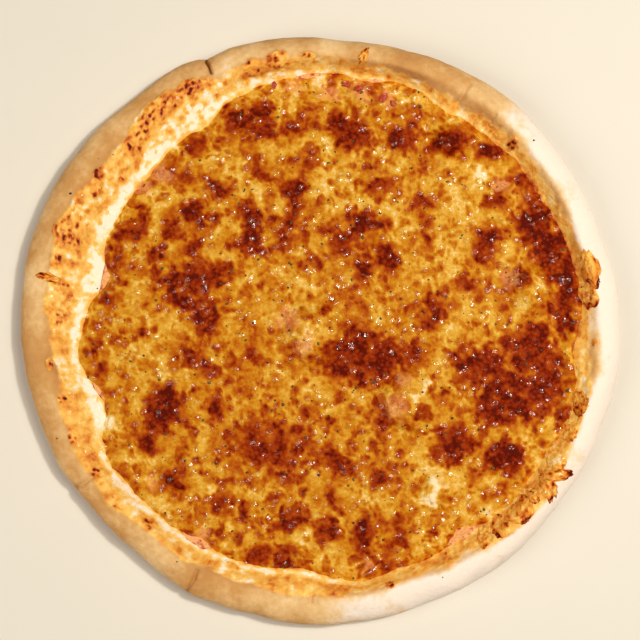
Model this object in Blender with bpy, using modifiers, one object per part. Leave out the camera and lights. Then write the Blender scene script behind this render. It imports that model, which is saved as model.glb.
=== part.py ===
"""A baked margherita pizza, lying flat: a dough crust with an uneven raised rim, a thin layer of tomato
sauce that shows in gaps at its edge, and melted cheese with blisters, browned spots and dried herbs.

Sizes are in millimetres and angles in degrees, counter-clockwise from +X, seen from above.
"""

import math
import random

import bmesh
import bpy
from mathutils import Euler, Matrix, Vector, noise

MM = 0.001
SECTIONS = 160
GAP = 0.3

# Outline: a mean radius, long waves (waves round the rim, size, angle of one crest), and single swellings
# or dents (angle, size, half width in degrees).
RIM_RADIUS = 163.4
RIM_WAVES = (
    (1, 1.5, 101), (2, 1.7, 155), (3, 1.2, 33), (4, 0.4, 78), (5, 0.3, 49), (6, 0.4, 54), (7, 0.5, 0),
)
RIM_SWELLS = (
    (17.5, -1.3, 3), (85, -1.1, 4), (112.5, -1.6, 2), (120, 1.2, 3), (130, -0.9, 3), (209, 1.5, 4),
    (219, -1.2, 4), (230, -1, 2), (241, 0.8, 3), (245, 1.2, 2), (256, -1.6, 2.5), (290, -1.3, 4),
    (335, 1, 3),
)

# Rim: its crest lies this far in from the edge, over a roll that is widest at half-way height.
CREST_IN = 13.5
CREST_WAVES = ((1, 1.3, 200), (3, 0.8, 150))
RIM_HEIGHT = 18.5
HEIGHT_WAVES = ((1, 0.9, 20), (2, 0.8, 130), (5, 0.6, 12), (9, 0.4, 31))
HEIGHT_SWELLS = (
    (50, 1.6, 8), (113, -1.4, 3), (147, 1.2, 9), (213, -1.2, 4), (243, -1.5, 3), (268, -0.8, 4),
)
WIDEST_AT = 7.5
UNDER_IN = 9.5
ROLL_ANGLES = (-65, -33, 0, 26, 50, 71, 90)
SLOPE_SHARES = (0.22, 0.46, 0.72)

# The dough's small unevenness: its size, the sizes of its grain, and the share that goes sideways.
DOUGH_ROUGHNESS = 0.4
DOUGH_GRAINS = (9.0, 25.0)
DOUGH_SIDEWAYS = 0.4
ROUGH_FROM = 2.0

# Foot of the rim's inner slope, where the cheese meets the dough, and where it climbs higher.
FOOT_RADIUS = 137.7
FOOT_WAVES = ((1, 6.5, 6), (2, 2.3, 66), (3, 2.4, 90), (4, 0.9, 3), (5, 1.4, 15))
FOOT_SWELLS = (
    (40, 2, 5), (61, -3.5, 4), (120, -3.5, 4), (168, -4, 6), (186, 4, 6), (201, -5.5, 4), (212, 3, 6),
    (240, 5, 3.5), (265, -3, 6), (278, 4, 6), (340, 3, 7), (355, -3.5, 5),
)
FOOT_RUN = 8.0
FOOT_HEIGHT = 8.3
FOOT_LIFTS = ((355, 3.2, 45),)
FLOOR_HEIGHT = 4.5

# Baked-on films of cheese on the inner slope (angle, thickness, half width in degrees).
SLOPE_FILMS = ((102, 1.2, 5), (125, 0.7, 8), (160, 0.8, 7), (176, 0.6, 5), (205, 0.6, 5), (325, 1.2, 9))

# Slits and creases in the rim (angle, inner radius, outer radius, width, depth).
CREASES = (
    (46, 145, 158, 1.6, 1.6), (50.5, 142, 157, 1.6, 1.8), (58.5, 143, 161, 2.2, 2.6),
    (113.3, 151, 167, 2.4, 4.5), (213, 148, 161, 1.6, 1.5), (243.3, 146, 164, 2.2, 2.8),
    (268, 141, 150, 1.6, 1.6),
)

# Scraps and crags of cheese baked on the rim (angle, radius, length, width, height, turn from the tangent).
SCRAPS = (
    (6.5, 146, 12, 8, 1.4, 10), (12, 150, 20, 8, 1.5, 4), (42, 147, 7, 5, 0.9, 0),
    (81, 152, 6, 3.5, 0.9, 75), (93, 148, 9, 6, 0.9, 0), (99, 149, 12, 9, 1.4, 0),
    (104, 148, 14, 8, 1.3, 0), (119, 150.5, 14, 9, 0.6, 0), (136.4, 144, 8, 5, 0.8, 90),
    (145.5, 147.3, 6.5, 6, 0.9, 0), (170, 150.5, 10, 3, 1, 85), (188, 149, 8, 4.5, 0.8, 0),
    (298.5, 143.5, 6, 6, 0.8, 0), (309, 143, 10, 6, 1.4, 30),
    (312.4, 144, 12, 8, 1.8, 20), (315.5, 145, 13, 9, 2, 150), (318, 147, 13, 8, 2.2, 30),
    (320.5, 145, 9, 7, 1.6, 60), (324.3, 152.5, 14, 5.5, 1.5, 54), (327.5, 150, 14, 5, 1.5, 123),
    (330.5, 146, 11, 8, 1.2, 70), (337, 145, 11, 5, 1.5, 20), (343.5, 144.5, 10.5, 6, 1.4, 12),
)
SCRAP_JITTER = 0.16
SCRAP_SINK = 1.5
SCRAP_CLEAR = 0.9

# Sauce layer, and where it shows beyond the cheese (angle, share of the foot's run laid bare, half width).
SAUCE_THICKNESS = 1.5
SAUCE_EDGE = 0.4
SAUCE_EDGE_BARE = 0.5
SAUCE_REACH = 0.6
SAUCE_GAPS = ((80, 0.6, 6), (93, 0.5, 5), (167, 0.7, 4), (196, 0.6, 3), (240, 0.95, 3.6), (304, 0.95, 4.2))

# Cheese: its usual top, the thin edge, and an unevenness of two sizes.
CHEESE_TOP = 9.5
CHEESE_EDGE = 0.9
EDGE_EASE = 0.45
CHEESE_ROUGHNESS = 0.45
CHEESE_GRAIN = 11.0
CHEESE_SWELL = 0.5
CHEESE_SWELL_SIZE = 45.0
SWELL_LAYER = 0
GRAIN_LAYER = 40
CRAG_LAYER = 80
GRID_SPAN = 40

# Blisters under the cheese (x, y, radius, height).
BLISTERS = (
    (-3, -3, 22, 6.5), (48, -41, 20, 6), (117, 22, 16, 5), (-80, -80, 13, 3.5), (73, 105, 14, 4.8),
    (63, -90, 12, 4), (24, 128, 12, 3), (98, 66, 11, 2.4),
)
DOME_FULLNESS = 1.35

# The largest browned spots, which stand up as crags (x, y, radius).
BROWNED = (
    (-72, 26, 13), (-69, -19, 8), (-87, -44, 11), (-94, -63, 7), (-28, -66, 20), (71, -63, 13),
    (103, -73, 11),
    (93, -31, 24), (24, -15, 15), (36, 40, 8), (-40, 62, 9), (17, 108, 14), (45, 104, 11), (33, 79, 11),
    (91, 46, 9), (118, 57, 12), (132, 34, 12), (68, 101, 9), (-36, 107, 9), (23, -114, 8), (-17, 75, 9),
    (62, 11, 8), (95, 97, 9), (-105, 52, 8),
)
BROWNED_HEIGHT = 1.1
BROWNED_REACH = 1.15
CRAG_HEIGHT = 0.9
CRAG_GRAIN = 5.5

# The top's grid is finer over the blisters and over browned spots from this radius up.
FINE_FROM = 10
FINE_SHARE = 0.7
FINE_MARGIN = 7

# Dried herb flakes on the cheese.
FLAKES = 44
FLAKE_SIZE = (0.8, 1.5)
FLAKE_THICKNESS = 1.1
FLAKE_SIDES = 5
FLAKE_FIELD = 122.0
FLAKE_SPACING = 12.0
FLAKE_TAPER = 0.7
FLAKE_RISE = 0.2
FLAKE_NARROW = (0.55, 0.9)
FLAKE_LEAN = 0.2
SEED = 20


def around(angle, centre):
    """The signed difference between two angles."""
    return (angle - centre + 180) % 360 - 180


def waves(angle, table):
    return sum(size * math.cos(math.radians(count * (angle - crest))) for count, size, crest in table)


def swells(angle, table):
    return sum(size * math.exp(-((around(angle, centre) / width) ** 2)) for centre, size, width in table)


def smooth(share):
    share = min(max(share, 0), 1)
    return share * share * (3 - 2 * share)


def dome(x, y, centre_x, centre_y, radius):
    """Share of the full height: 1 over the middle, falling to 0 at the radius."""
    return smooth(DOME_FULLNESS * (1 - math.hypot(x - centre_x, y - centre_y) / radius))


def unevenness(x, y, z, size):
    """Seeded noise from -1 to 1 with features of about this size."""
    return noise.noise(Vector((x, y, z)) / size + Vector((SEED, 2 * SEED, 0)))


def edge_radius(angle):
    return RIM_RADIUS + waves(angle, RIM_WAVES) + swells(angle, RIM_SWELLS)


def crest_radius(angle):
    return edge_radius(angle) - CREST_IN - waves(angle, CREST_WAVES)


def rim_height(angle):
    return RIM_HEIGHT + waves(angle, HEIGHT_WAVES) + swells(angle, HEIGHT_SWELLS)


def foot_radius(angle):
    return FOOT_RADIUS + waves(angle, FOOT_WAVES) + swells(angle, FOOT_SWELLS)


def foot_height(angle):
    return FOOT_HEIGHT + swells(angle, FOOT_LIFTS)


def floor_radius(angle):
    return foot_radius(angle) - FOOT_RUN


def dough_section(angle):
    """(radius, height) from the underside round the rim's roll, then down its inner slope to the floor."""
    edge = edge_radius(angle)
    crest = crest_radius(angle)
    top = rim_height(angle)
    foot = foot_radius(angle)
    low = foot_height(angle)
    points = [(edge - UNDER_IN, 0)]
    for turn in ROLL_ANGLES:
        half_height = top - WIDEST_AT if turn > 0 else WIDEST_AT
        out = crest + (edge - crest) * math.cos(math.radians(turn))
        points.append((out, WIDEST_AT + half_height * math.sin(math.radians(turn))))
    film = swells(angle, SLOPE_FILMS)
    for share in SLOPE_SHARES:
        drop = 0.5 - 0.5 * math.cos(math.pi * share)
        lift = film * math.sin(math.pi * share)
        points.append((crest - (crest - foot) * share, top - (top - low) * drop + lift))
    points.append((foot, low))
    points.append((foot - FOOT_RUN, FLOOR_HEIGHT))
    return points


def dough_height(angle, radius):
    """Height of the dough's upper surface, from the rim's widest line inwards."""
    points = dough_section(angle)[1 + ROLL_ANGLES.index(0):]
    for (outer, high), (inner, low) in zip(points, points[1:]):
        if radius >= inner:
            share = min((radius - inner) / (outer - inner), 1)
            return low + (high - low) * share
    return FLOOR_HEIGHT


def bare_share(angle):
    """Share of the foot's run where the cheese has drawn back from the dough."""
    return min(swells(angle, SAUCE_GAPS), 0.9)


def sauce_section(angle):
    """(radius, height) from the floor's edge out along the underside and back along the top."""
    bare = bare_share(angle)
    reach = SAUCE_REACH + (1 - SAUCE_REACH) * bare
    rise = FLOOR_HEIGHT + (foot_height(angle) - FLOOR_HEIGHT) * reach + GAP
    start = floor_radius(angle)
    end = start + FOOT_RUN * reach
    thickness = SAUCE_EDGE + SAUCE_EDGE_BARE * bare
    return [
        (start, FLOOR_HEIGHT + GAP),
        (end, rise),
        (end, rise + thickness),
        (start, FLOOR_HEIGHT + GAP + SAUCE_THICKNESS),
    ]


def cheese_rim(angle):
    """(radius, height) of the cheese's thin edge, top and bottom, and its underside at the floor's end."""
    bare = bare_share(angle)
    share = 1 - bare
    reach = SAUCE_REACH + (1 - SAUCE_REACH) * bare
    edge_thickness = SAUCE_EDGE + SAUCE_EDGE_BARE * bare
    sauce = SAUCE_THICKNESS + (edge_thickness - SAUCE_THICKNESS) * min(share / reach, 1)
    over_sauce = min(max((reach - share) / EDGE_EASE + 1, 0), 1)
    dough = FLOOR_HEIGHT + (foot_height(angle) - FLOOR_HEIGHT) * share
    under = dough + GAP + (sauce + GAP) * over_sauce
    start = floor_radius(angle)
    radius = start + FOOT_RUN * share
    flat = FLOOR_HEIGHT + SAUCE_THICKNESS + 2 * GAP
    return [(radius, under + CHEESE_EDGE), (radius, under), (start, flat)]


def cheese_height(x, y):
    """Height of the cheese's top, with blisters, browned crags and a finer unevenness."""
    height = CHEESE_TOP
    height += CHEESE_SWELL * unevenness(x, y, SWELL_LAYER, CHEESE_SWELL_SIZE)
    height += CHEESE_ROUGHNESS * unevenness(x, y, GRAIN_LAYER, CHEESE_GRAIN)
    for centre_x, centre_y, radius, rise in BLISTERS:
        height += rise * dome(x, y, centre_x, centre_y, radius)
    for centre_x, centre_y, radius in BROWNED:
        crag = BROWNED_HEIGHT + CRAG_HEIGHT * unevenness(x, y, CRAG_LAYER, CRAG_GRAIN)
        height += crag * dome(x, y, centre_x, centre_y, radius * BROWNED_REACH)
    return height


def at(angle, radius, height):
    """A point in metres from an angle, a radius and a height."""
    turn = math.radians(angle)
    return Vector((radius * math.cos(turn), radius * math.sin(turn), height)) * MM


def angle_of(point):
    return math.degrees(math.atan2(point.y, point.x)) % 360


def material(name, colour, roughness):
    made = bpy.data.materials.new(name)
    made.use_nodes = True
    shader = made.node_tree.nodes["Principled BSDF"]
    shader.inputs["Base Color"].default_value = (*colour, 1)
    shader.inputs["Roughness"].default_value = roughness
    shader.inputs["Metallic"].default_value = 0
    return made


def collection(name, hidden=False):
    made = bpy.data.collections.new(name)
    bpy.context.scene.collection.children.link(made)
    made.hide_render = hidden
    return made


def object_from(shape, name, home, surface=None):
    """An object in a collection from an edited mesh, shaded smooth."""
    bmesh.ops.recalc_face_normals(shape, faces=shape.faces)
    mesh = bpy.data.meshes.new(name)
    shape.to_mesh(mesh)
    shape.free()
    mesh.polygons.foreach_set("use_smooth", [True] * len(mesh.polygons))
    if surface:
        mesh.materials.append(surface)
    made = bpy.data.objects.new(name, mesh)
    home.objects.link(made)
    return made


def open_edges(shape):
    return [edge for edge in shape.edges if edge.is_boundary]


def turned(section, name, home, surface):
    """A section turned round the pizza, then drawn to its own radii and heights at every angle."""
    profile = section(0)
    mesh = bpy.data.meshes.new(name)
    links = [(index, index + 1) for index in range(len(profile) - 1)]
    mesh.from_pydata([at(0, *point) for point in profile], links, [])
    mesh.attributes.new("ring", "INT", "POINT").data.foreach_set("value", range(len(profile)))
    lathe = bpy.data.objects.new(name, mesh)
    home.objects.link(lathe)
    turn = lathe.modifiers.new("turn", "SCREW")
    turn.steps = SECTIONS
    turn.render_steps = SECTIONS
    bpy.context.view_layer.objects.active = lathe
    bpy.ops.object.modifier_apply(modifier=turn.name)
    shape = bmesh.new()
    shape.from_mesh(lathe.data)
    bpy.data.objects.remove(lathe)
    bpy.data.meshes.remove(mesh)
    ring = shape.verts.layers.int["ring"]
    for point in shape.verts:
        angle = angle_of(point.co)
        point.co = at(angle, *section(angle)[point[ring]])
    bmesh.ops.holes_fill(shape, edges=open_edges(shape))
    return object_from(shape, name, home, surface)


def roughen(dough):
    """Small unevenness of the baked dough, clear of the underside and of what the layers cover."""
    for point in dough.data.vertices:
        x, y, z = point.co / MM
        out = Vector((x, y, 0)).normalized()
        outside = math.hypot(x, y) > foot_radius(angle_of(point.co)) + 1
        if z > ROUGH_FROM and outside:
            lift = DOUGH_ROUGHNESS * sum(unevenness(x, y, z, size) for size in DOUGH_GRAINS)
            point.co += (out * DOUGH_SIDEWAYS + Vector((0, 0, 1))) * lift * MM


def crease_cutters(home):
    """Three-sided bars that press a slit or fold into the rim from above."""
    for index, (angle, inner, outer, width, depth) in enumerate(CREASES):
        middle = (inner + outer) / 2
        bpy.ops.mesh.primitive_cylinder_add(vertices=3, radius=1, depth=1)
        bar = bpy.context.active_object
        bar.name = f"crease_{index}"
        bar.data.transform(Matrix.Rotation(math.radians(90), 4, "Z"))
        bar.data.transform(Matrix.Diagonal((width / math.sqrt(3), depth / 1.5, outer - inner, 1)))
        bar.data.transform(Matrix.Scale(MM, 4))
        bar.data.transform(Euler((math.radians(-90), 0, 0)).to_matrix().to_4x4())
        crest = crest_radius(angle)
        slope = 0
        if middle < crest:
            upper = min(outer, crest)
            slope = math.atan2(dough_height(angle, upper) - dough_height(angle, inner), upper - inner)
        bar.rotation_euler = Euler((slope, 0, math.radians(angle - 90)))
        bar.location = at(angle, middle, dough_height(angle, min(middle, crest)))
        bar.hide_render = True
        bar.display_type = "WIRE"
        for owner in bar.users_collection:
            owner.objects.unlink(bar)
        home.objects.link(bar)


def scrap_pieces(home, chance):
    """Ragged lumps of cheese, draped over the rim clear of its foot, their lower half sunk deeper in it."""
    for index, (angle, radius, length, width, height, turn) in enumerate(SCRAPS):
        shape = bmesh.new()
        bmesh.ops.create_icosphere(shape, subdivisions=1, radius=1)
        spin = math.radians(turn)
        places = []
        for point in shape.verts:
            x, y, z = point.co * (1 + SCRAP_JITTER * chance.uniform(-1, 1))
            along = x * length / 2
            across = y * width / 2
            aside = along * math.cos(spin) - across * math.sin(spin)
            out = radius + along * math.sin(spin) + across * math.cos(spin)
            places.append((angle - math.degrees(aside / radius), out, z))
        shift = max(0, *(foot_radius(spot) + SCRAP_CLEAR - out for spot, out, _ in places))
        for point, (spot, out, z) in zip(shape.verts, places):
            depth = height if z > 0 else height + SCRAP_SINK
            point.co = at(spot, out + shift, dough_height(spot, out + shift) + z * depth)
        object_from(shape, f"scrap_{index}", home)


def flake_pieces(home, chance):
    """Flat five-sided flakes, half sunk in the cheese, spaced apart by a seeded rule."""
    places = []
    while len(places) < FLAKES:
        angle = chance.uniform(0, 360)
        radius = FLAKE_FIELD * math.sqrt(chance.random())
        spot = Vector((radius * math.cos(math.radians(angle)), radius * math.sin(math.radians(angle))))
        if all((spot - other).length > FLAKE_SPACING for other in places):
            places.append(spot)
    sizes = sorted((chance.uniform(*FLAKE_SIZE) for _ in places), reverse=True)
    for index, (spot, size) in enumerate(zip(places, sizes)):
        shape = bmesh.new()
        bmesh.ops.create_cone(
            shape, cap_ends=True, segments=FLAKE_SIDES, radius1=size * MM, radius2=size * FLAKE_TAPER * MM,
            depth=FLAKE_THICKNESS * MM,
        )
        bmesh.ops.scale(shape, vec=(1, chance.uniform(*FLAKE_NARROW), 1), verts=shape.verts)
        flake = object_from(shape, f"flake_{index}", home)
        height = cheese_height(spot.x, spot.y) + FLAKE_RISE * FLAKE_THICKNESS
        flake.location = Vector((spot.x, spot.y, height)) * MM
        lean_x, lean_y = (chance.uniform(-FLAKE_LEAN, FLAKE_LEAN) for _ in range(2))
        flake.rotation_euler = (lean_x, lean_y, chance.uniform(0, 2 * math.pi))


def combine(target, others, operation):
    """One Boolean of a whole collection, applied."""
    bpy.context.view_layer.update()
    change = target.modifiers.new(operation.lower(), "BOOLEAN")
    change.operation = operation
    change.operand_type = "COLLECTION"
    change.collection = others
    change.solver = "EXACT"
    bpy.context.view_layer.objects.active = target
    bpy.ops.object.modifier_apply(modifier=change.name)


def discard(group):
    for item in list(group.objects):
        bpy.data.objects.remove(item)
    bpy.data.collections.remove(group)


def step_out(shape, place):
    """Carries the open edge on to a new ring, each point placed by its angle."""
    made = bmesh.ops.extrude_edge_only(shape, edges=open_edges(shape))["geom"]
    for point in made:
        if isinstance(point, bmesh.types.BMVert):
            point.co = place(angle_of(point.co))


def refine(shape):
    """Splits the faces of the top near the blisters and the browned crags, so that they show."""
    near = set()
    spots = [(x, y, radius + 1) for x, y, radius, _ in BLISTERS]
    spots += [(x, y, radius * FINE_SHARE) for x, y, radius in BROWNED if radius > FINE_FROM]
    for face in shape.faces:
        middle = face.calc_center_median()
        x, y = (middle / MM).xy
        wanted = any(math.hypot(x - spot_x, y - spot_y) < radius for spot_x, spot_y, radius in spots)
        if wanted and math.hypot(x, y) < floor_radius(angle_of(middle)) - FINE_MARGIN:
            near.update(face.edges)
    bmesh.ops.subdivide_edges(shape, edges=list(near), cuts=1, use_grid_fill=True)


def cheese_sheet(home, surface):
    """A grid-filled disc with relief, a thin edge that follows the dough's foot, and a flat underside."""
    bpy.ops.mesh.primitive_circle_add(vertices=SECTIONS, radius=1)
    disc = bpy.context.active_object
    bpy.ops.object.mode_set(mode="EDIT")
    bpy.ops.mesh.select_all(action="SELECT")
    bpy.ops.mesh.fill_grid(span=GRID_SPAN)
    bpy.ops.object.mode_set(mode="OBJECT")
    shape = bmesh.new()
    shape.from_mesh(disc.data)
    bpy.data.objects.remove(disc)
    for point in shape.verts:
        share = point.co.length
        angle = angle_of(point.co)
        own = FOOT_RADIUS - FOOT_RUN
        own += (floor_radius(angle) - own) * share**2
        point.co = at(angle, share * own, 0)
    refine(shape)
    for point in shape.verts:
        x, y = (point.co / MM).xy
        point.co.z = cheese_height(x, y) * MM
    for part in range(3):
        step_out(shape, lambda angle: at(angle, *cheese_rim(angle)[part]))
    bmesh.ops.holes_fill(shape, edges=open_edges(shape))
    return object_from(shape, "cheese", home, surface)


def main():
    for item in list(bpy.data.objects):
        bpy.data.objects.remove(item)
    pizza = collection("margherita_pizza")
    cutters = collection("cutters", hidden=True)
    chance = random.Random(SEED)

    dough_surface = material("baked_dough", (0.74, 0.52, 0.28), 0.75)
    sauce_surface = material("tomato_sauce", (0.5, 0.08, 0.03), 0.35)
    cheese_surface = material("melted_cheese", (0.8, 0.42, 0.08), 0.4)

    crust = turned(dough_section, "crust", pizza, dough_surface)
    roughen(crust)
    crease_cutters(cutters)
    combine(crust, cutters, "DIFFERENCE")
    scraps = collection("scraps")
    scrap_pieces(scraps, chance)
    combine(crust, scraps, "UNION")
    discard(scraps)

    turned(sauce_section, "tomato_sauce", pizza, sauce_surface)

    cheese = cheese_sheet(pizza, cheese_surface)
    flakes = collection("flakes")
    flake_pieces(flakes, chance)
    combine(cheese, flakes, "UNION")
    discard(flakes)


main()
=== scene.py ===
"""Looks of a baked margherita pizza: floury dough, tomato sauce, browned melted cheese, herbs and pepper.

Lengths in this script are in millimetres and angles in degrees, counter-clockwise from +X seen from above,
until a point goes into a mesh, where it is in metres. The stage's own sizes and places are in metres.
"""

import itertools
import math
import random

import bpy
import numpy as np
from mathutils import Matrix, Vector
from mathutils.bvhtree import BVHTree


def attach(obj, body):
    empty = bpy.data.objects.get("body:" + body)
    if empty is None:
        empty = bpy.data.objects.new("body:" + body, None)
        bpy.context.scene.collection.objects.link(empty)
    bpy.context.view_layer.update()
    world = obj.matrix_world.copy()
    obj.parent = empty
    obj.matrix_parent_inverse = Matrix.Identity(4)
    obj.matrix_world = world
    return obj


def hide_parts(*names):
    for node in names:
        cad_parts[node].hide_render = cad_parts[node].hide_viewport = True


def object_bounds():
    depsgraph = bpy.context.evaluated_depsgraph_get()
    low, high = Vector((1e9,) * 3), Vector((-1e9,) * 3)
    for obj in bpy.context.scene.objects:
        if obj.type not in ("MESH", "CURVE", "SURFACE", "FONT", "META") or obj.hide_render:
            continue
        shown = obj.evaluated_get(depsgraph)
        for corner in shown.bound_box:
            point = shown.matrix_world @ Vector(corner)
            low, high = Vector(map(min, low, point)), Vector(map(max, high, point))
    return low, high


bl_info = {
    "name": "Margherita Pizza",
    "version": (1, 0, 0),
    "blender": (4, 5, 0),
    "location": "3D View > Sidebar > Pizza",
    "description": "Dresses a margherita pizza: crust, sauce, cheese, baked-on scraps, herbs and pepper",
    "category": "Mesh",
}

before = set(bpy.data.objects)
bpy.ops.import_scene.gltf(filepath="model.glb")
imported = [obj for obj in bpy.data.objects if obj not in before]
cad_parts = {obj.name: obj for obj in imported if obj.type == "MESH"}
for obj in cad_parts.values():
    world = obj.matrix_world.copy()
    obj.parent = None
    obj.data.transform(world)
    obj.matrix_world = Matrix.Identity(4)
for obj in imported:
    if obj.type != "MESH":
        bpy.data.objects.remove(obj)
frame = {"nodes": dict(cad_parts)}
CAD_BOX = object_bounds()
MM = 0.001

# Probing the solids: where rays start, how a place just beside a surface is moved in, and the start and step
# of the search for a solid's edge.
RAY_HEIGHT = 100
RAY_RADIUS = 200
NUDGES = 12
NUDGE = 0.997
SEARCH_RADIUS = 148.0
SEARCH_STEP = 0.25

# Steps round the pizza, which crowd together at the creases.
TURN_STEPS = 900
FINE_STEPS = 7200
CREASE_CROWDING = 3.5
CREASE_REACH = 1.6

# Where the rim's crest is looked for, inwards from the edge (from, to, step).
CREST_SEARCH = (5, 23, 0.75)

# Rings of the crust's section: under the roll, over it, and down the inner slope, eased so many times.
UNDER_RINGS = 12
UNDER_TURN = 72
ROLL_RINGS = 26
SLOPE_RINGS = 44
SLOPE_EASING = 50

# The section's places: the height where it is widest, how far in its underside starts, how far the slope
# goes on under the cheese, and the run from there to the floor of the base.
WIDEST_AT = 7.5
UNDER_IN = 9.5
UNDER_CHEESE = 6.0
FLOOR_RUN = 4.0

# Slits and creases in the rim (angle, inner radius, outer radius, width, depth).
CREASES = (
    (43.6, 139, 147, 1.8, 0.7), (46, 139, 150, 2.0, 0.9), (48.3, 139, 148, 1.6, 0.7),
    (50.5, 139, 151, 2.0, 1.0), (53.4, 139, 147, 1.8, 0.7), (58.5, 141, 158, 3.0, 1.8),
    (113.3, 151, 168, 1.8, 4.6), (213.5, 143, 163, 3.0, 2.0), (243.3, 146, 163, 2.0, 2.2),
    (268, 141, 150, 2.2, 1.4),
)

# Outer edge of the film of baked cheese on the rim's inner slope (angle, radius).
FILM_EDGE = (
    (0, 147), (10, 149), (18, 148), (25, 147), (35, 147), (45, 148), (52, 147), (60, 145), (70, 147),
    (80, 148), (92, 148.5), (105, 151), (112, 147.5), (117, 154), (125, 155), (132, 153), (136, 149),
    (145, 148.5), (152, 152), (160, 154), (167, 152), (176, 150.5), (185, 147), (195, 147.5), (205, 150.5),
    (214, 149), (220, 150), (226, 146.5), (233, 145), (240, 147), (248, 143.5), (255, 145), (262, 144.5),
    (268, 145.5), (280, 146), (295, 145), (303, 146), (309, 150), (316, 153), (322, 153), (328, 152),
    (333, 150), (339, 151), (346, 150), (353, 147),
)

# The side of the rim turned to the light, which stays floury while the far side is painted golden, partly as
# painted shade, and the side where its film of cheese is grainy.
LIT_SIDE = 345
GRAINY_SIDE = 140

# Toasted patches and flat scraps of the film (angle, radius, length round the rim, width, height, browning).
FILM_TOAST = (
    (119, 150.5, 14, 9, 0.5, 0.75), (123.5, 149.5, 14, 10, 0.4, 0.7), (128, 147.5, 16, 10, 0.4, 0.65),
    (133, 145, 10, 8, 0.4, 0.55), (159.5, 146.5, 20, 17, 0.5, 0.52), (165.5, 147.7, 6, 4, 0.6, 0.75),
    (171, 143.6, 4, 9, 0.5, 0.6), (178, 143, 8, 9, 0.5, 0.5), (136.4, 144, 5, 8, 0.8, 0.68),
    (140.9, 141.6, 5, 8, 0.7, 0.5), (145.5, 147.3, 6.5, 6, 0.9, 0.82), (149.9, 144, 5, 5, 0.5, 0.5),
    (104, 148, 14, 8, 1.4, 0.5), (99, 149, 12, 9, 1.6, 0.5), (100.5, 150, 6, 4, 1.8, 0.72),
    (93, 148, 9, 6, 0.8, 0.4), (188, 149, 8, 4.5, 0.8, 0.72), (196, 146, 6, 7, 0.5, 0.5),
    (205, 148, 9, 4, 0.4, 0.5), (213, 146.5, 5.5, 5, 0.6, 0.68), (221, 147, 8, 4, 0.3, 0.5),
    (229, 142.5, 8, 4, 0.3, 0.55), (250, 139, 8, 4, 0.3, 0.5), (285, 145, 5, 3, 0.5, 0.6),
    (298.5, 143.5, 6, 6, 0.7, 0.62), (44, 147, 7, 5, 0.8, 0.72), (81, 147, 4, 9, 0.9, 0.62),
    (356.5, 149.5, 4, 3, 0.4, 0.72), (350, 143, 8, 6, 0.5, 0.5), (305, 143, 10, 6, 0.6, 0.4),
)

# Tongues of cheese baked crisp over the rim (angle, radius, length, width, height, turn, browning).
SCRAPS = (
    (12, 150.5, 20, 8, 1.3, 4, 0.62), (6.5, 147, 12, 8, 1.2, 10, 0.62), (81, 151.5, 8, 4, 0.9, 75, 0.6),
    (170, 150.5, 11, 4, 0.9, 85, 0.7), (308, 144.5, 9, 6, 1.2, 30, 0.5), (312, 145.5, 12, 8, 1.5, 20, 0.66),
    (315.5, 146, 12, 9, 1.6, 150, 0.5), (318.4, 147.5, 13, 8, 1.8, 30, 0.66),
    (321, 146, 9, 7, 1.4, 60, 0.6), (324.3, 151.5, 13, 7, 1.3, 54, 0.62),
    (327.5, 150, 14, 6.5, 1.3, 123, 0.7), (330.5, 147, 11, 9, 1.1, 70, 0.42),
    (337, 145.5, 11, 9, 1.3, 30, 0.56), (343.5, 147, 10.5, 7, 1.3, 12, 0.64),
)

# The scraps' half size beside their length and width, how high they bulge, and how deep they are sunk.
SCRAP_SPREAD = 0.58
SCRAP_BULGE = 0.6
SCRAP_SUNK = 0.4

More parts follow.
